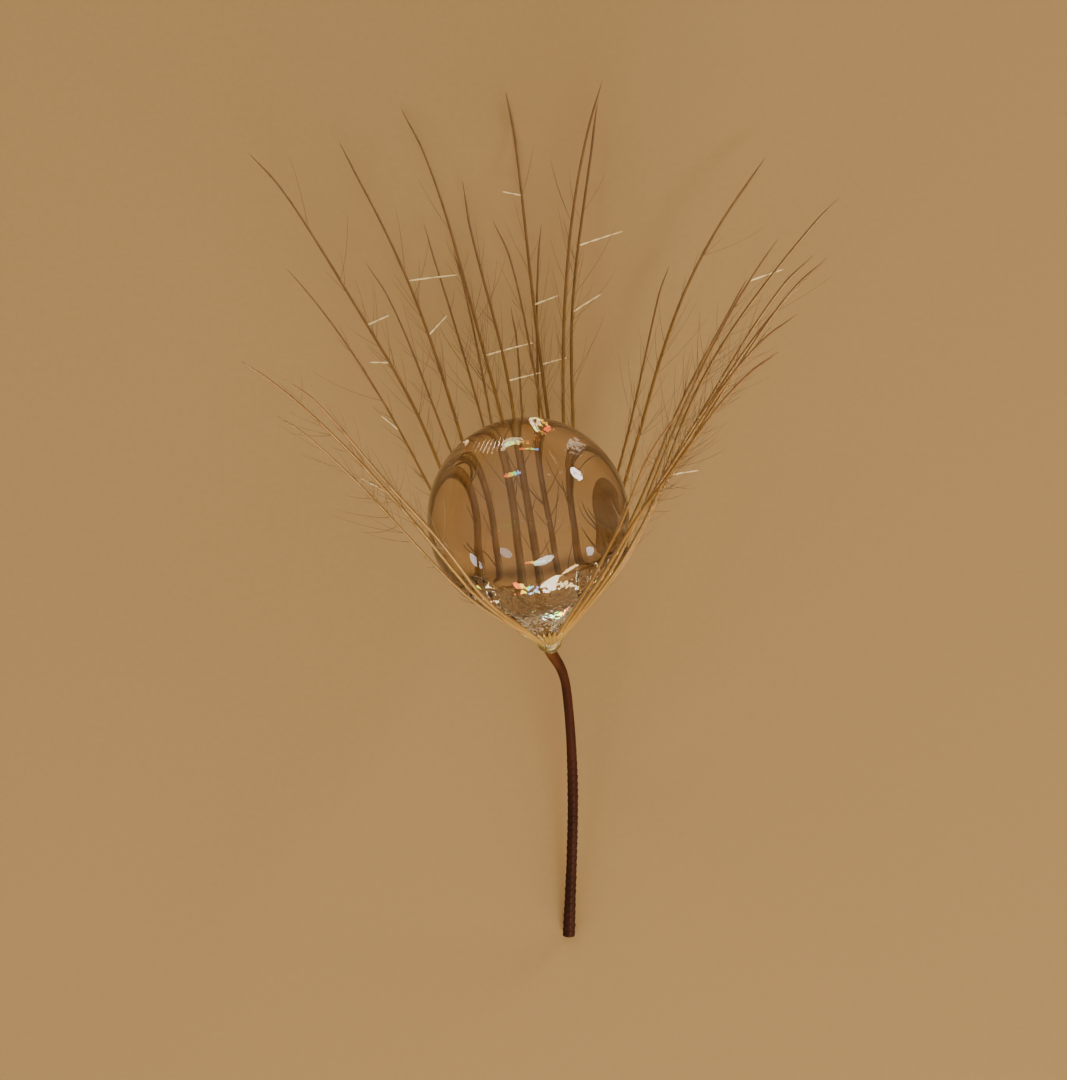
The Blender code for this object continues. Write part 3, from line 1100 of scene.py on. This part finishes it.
# %% Spin and rib the collar
CUP_STEPS = 240
RIB_HEIGHT = 0.011 * MM
RIB_WIDTH = math.radians(2.6)
RIBS_START = (0.02 * MM, 0.12 * MM)  # the heights between which the ribs rise out of the neck
WEB_DIP = 0.10 * MM
RIM_BAND = (0.19 * MM, 0.28 * MM)  # the heights between which the webbing dips
BULGE_MM = 0.006
BULGE_TURN = 2.6
BULGE_BAND = (0.08 * MM, 0.02 * MM)
COLOUR_BAND = (-0.05 * MM, 0.28 * MM)
RIB_TINT = 0.15  # how much lighter a rib is than the skin beside it
CUP_MIDDLE = 0.01 * MM  # the poles on the axis stay where they are

bm = spin_outline(cup_outline, CUP_STEPS)
along = bm.verts.layers.float.new("along")
for vert in bm.verts:
    radius, turn, height = head_place(vert.co)
    if radius < CUP_MIDDLE:
        vert[along] = 0.0 if height < 0 else 0.4
        continue
    rise = smooth_step(*COLOUR_BAND, height)
    rib = max(math.exp(-(turn_gap(turn, other) / RIB_WIDTH) ** 2) for other in rib_turns)
    bulge = BULGE_MM * MM * math.cos(turn - BULGE_TURN) * smooth_step(*BULGE_BAND, abs(height))
    new_radius = radius + rib * RIB_HEIGHT * smooth_step(*RIBS_START, height) + bulge
    drop_down = WEB_DIP * (1 - rib) * smooth_step(*RIM_BAND, height)
    new_radius -= drop_down * math.sin(WALL_LEAN)
    vert.co = head_point(new_radius, turn, height - drop_down * math.cos(WALL_LEAN))
    vert[along] = rise * (1 - RIB_TINT) + rib * RIB_TINT
bmesh.ops.recalc_face_normals(bm, faces=bm.faces)
collar = link_piece(bm, "ribbed_collar", collar_gold)
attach(collar, "root")
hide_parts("collar")
print("collar faces:", len(collar.data.polygons))

# %% [markdown]
# ## The drop's outline
#
# A drop this small is a ball: surface tension beats its weight. Below, it runs down into the
# cone between the rays. A ball joined to a cone by hand would show a crease. Here the cone's
# side touches the ball's, so the outline runs from one into the other without a corner.

# %% Draw the drop's outline
ARC_STEPS = 170
CONE_STEPS = 60
CONE_END = 0.115 * MM  # where the cone ends, measured along its side

centre_height = (drop_centre - beak_top).length
cone_lean = math.asin(DROP_RADIUS / centre_height)
tangent_distance = math.sqrt(centre_height ** 2 - DROP_RADIUS ** 2)


def drop_outline():
    """From the ball's top down its side, then down the cone to its lower end."""
    outline = []
    for i in range(ARC_STEPS + 1):
        turn = (math.pi / 2 + cone_lean) * i / ARC_STEPS
        outline.append((DROP_RADIUS * math.sin(turn),
                        centre_height + DROP_RADIUS * math.cos(turn)))
    for i in range(1, CONE_STEPS + 1):
        distance = mix(tangent_distance, CONE_END, i / CONE_STEPS)
        outline.append((distance * math.sin(cone_lean), distance * math.cos(cone_lean)))
    outline.append((0.0, CONE_END * math.cos(cone_lean)))
    return outline


print("cone lean in degrees:", round(math.degrees(cone_lean), 1))

# %% [markdown]
# ## Where the rays pass the drop
#
# The water climbs a little way up each ray that it wets, so the drop has to know where the rays
# are at each of its heights. Many vertices share a height, and the answer for a height is kept
# once it is found, which saves nearly all of the work.

# %% Find the rays at a height
LEVEL_STEP = 0.002 * MM
rays_by_level = {}


def ray_at_height(line, height):
    """The radius and turn of a ray where it passes a height above the beak's top."""
    places = [head_place(spot) for spot in line[:RAY_STATIONS // 2]]
    for low, high in zip(places, places[1:]):
        if low[2] <= height <= high[2]:
            t = (height - low[2]) / (high[2] - low[2])
            return mix(low[0], high[0], t), mix(low[1], high[1], t)
    return None


def rays_at_height(height):
    """The radius and turn of every ray at a height, found once for each level."""
    level = round(height / LEVEL_STEP)
    if level not in rays_by_level:
        spots = [ray_at_height(line, height) for line in ray_stations.values()]
        rays_by_level[level] = [spot for spot in spots if spot]
    return rays_by_level[level]


# %% [markdown]
# ## How the rays shape the water
#
# Three things happen to the spun skin, and they matter more than their size says, because they
# bend the light into the sparkle at the drop's foot. Each wetted ray draws the skin out into a
# ridge. Just above, where the ball leaves the rays, the skin is drawn in to a slight waist. And
# the skin of the cone is rippled by the many small hairs under it, most on the upper side.

# %% Climb, waist and ripple
CREEP_WIDTH = 0.050 * MM  # how wide the water's climb onto a ray is
CREEP_TOP = 1.20 * MM  # the water leaves a ray at this height above the beak
CREEP_FADE = 0.75  # the climb begins to fade at this share of that height
CREEP_REACH = 0.16 * MM
CREEP_BELOW = 0.25  # how much of the climb is left right underneath
UNDERNEATH = (0.75, 1.0)  # where right underneath begins and ends
WAIST_HEIGHT = 1.00 * MM
WAIST_WIDTH = 0.075 * MM
WAIST_DEPTH = 0.040 * MM
RAY_HOLD = math.radians(13)  # how far to each side a ray holds the water
RIPPLE = 0.0065 * MM
RIPPLE_LENGTH = 0.042 * MM
RIPPLE_STARTS = (0.12 * MM, 0.25 * MM)
RIPPLE_ENDS = (0.90 * MM, 1.12 * MM)
RIPPLE_FREE = 0.7  # how much of the ripple is left between two rays
RIPPLE_BELOW = 0.15  # and right underneath


def bell(distance, width):
    """1 at no distance, falling softly to nothing a few widths away."""
    return math.exp(-(distance / width) ** 2)


def climb_and_hold(radius, turn, height):
    """How far the water is drawn out to the nearest rays, and how firmly they hold it."""
    climb, held = 0.0, 0.0
    for ray_away, ray_turn in rays_at_height(height):
        gap = ray_away - radius
        aside = turn_gap(turn, ray_turn)
        held = max(held, bell(aside, RAY_HOLD))
        if gap < CREEP_REACH:
            climb = max(climb, gap * bell(aside * radius, CREEP_WIDTH))
    return climb, held


def new_radius_of_water(spot, radius, turn, height, lower_side):
    climb, held = climb_and_hold(radius, turn, height)
    climb *= 1 - smooth_step(CREEP_FADE * CREEP_TOP, CREEP_TOP, height)
    climb *= mix(1.0, CREEP_BELOW, smooth_step(*UNDERNEATH, lower_side))
    waist = WAIST_DEPTH * held * bell(height - WAIST_HEIGHT, WAIST_WIDTH)
    rough = mix(RIPPLE_FREE, 1.0, held) * smooth_step(*RIPPLE_STARTS, height)
    rough *= 1 - smooth_step(*RIPPLE_ENDS, height)
    rough *= mix(1.0, RIPPLE_BELOW, lower_side)
    ripple = RIPPLE * rough * hills.noise(spot / RIPPLE_LENGTH)
    return radius + climb - waist + ripple


# %% [markdown]
# ## The shaded ring
#
# Just above the rays' grip, the water looks into its own shade, and a dark ring shows there. It
# leans, high on the upper side and low underneath, as the light does. The ring is a number at
# each vertex, which the water's finish reads. Noise keeps it from being the same all the way
# round.

# %% The shaded ring
SHADE_ABOVE = 1.19 * MM  # the ring's height on the upper side
SHADE_BELOW = 0.68 * MM  # and underneath
SHADE_WIDTH = 0.100 * MM
SHADE_DEPTH = 0.85
SHADE_PATCH = 0.16 * MM
SHADE_THIN = 0.75  # how much of the shade is left where it is thinnest


def shade_of_water(spot, height, lower_side):
    shade_height = mix(SHADE_ABOVE, SHADE_BELOW, lower_side)
    patch = smooth_step(-0.3, 0.3, hills.noise(spot / SHADE_PATCH))
    return (SHADE_DEPTH * bell(height - shade_height, SHADE_WIDTH)
            * mix(SHADE_THIN, 1.0, patch))


# %% [markdown]
# ## The drop
#
# Now the outline is spun and every vertex of its lower part is moved to its new radius. The top
# of the ball is left as it was spun. Real water throws a bright patch inside a faint shadow,
# which takes a renderer very long to work out. So the drop throws no shadow at all, and light
# that comes back off the floor passes it by.

# %% Spin and shape the drop
DROP_STEPS = 360
SHAPED_TOP = 1.50 * MM  # the ball is left as it was spun above this height
DROP_POLE = 0.02 * MM  # the lower pole stays where it is

bm = spin_outline(drop_outline(), DROP_STEPS)
shade = bm.verts.layers.float.new("shade")
for vert in bm.verts:
    radius, turn, height = head_place(vert.co)
    if height > SHAPED_TOP or radius < DROP_POLE:
        continue
    lower_side = 0.5 + 0.5 * math.sin(turn)
    vert[shade] = shade_of_water(vert.co, height, lower_side)
    new_radius = new_radius_of_water(vert.co, radius, turn, height, lower_side)
    vert.co = head_point(new_radius, turn, height)
bmesh.ops.recalc_face_normals(bm, faces=bm.faces)
drop = link_piece(bm, "held_drop", water)
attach(drop, "root")
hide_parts("water_drop")
drop.visible_shadow = False
drop.visible_diffuse = False
print("drop faces:", len(drop.data.polygons))
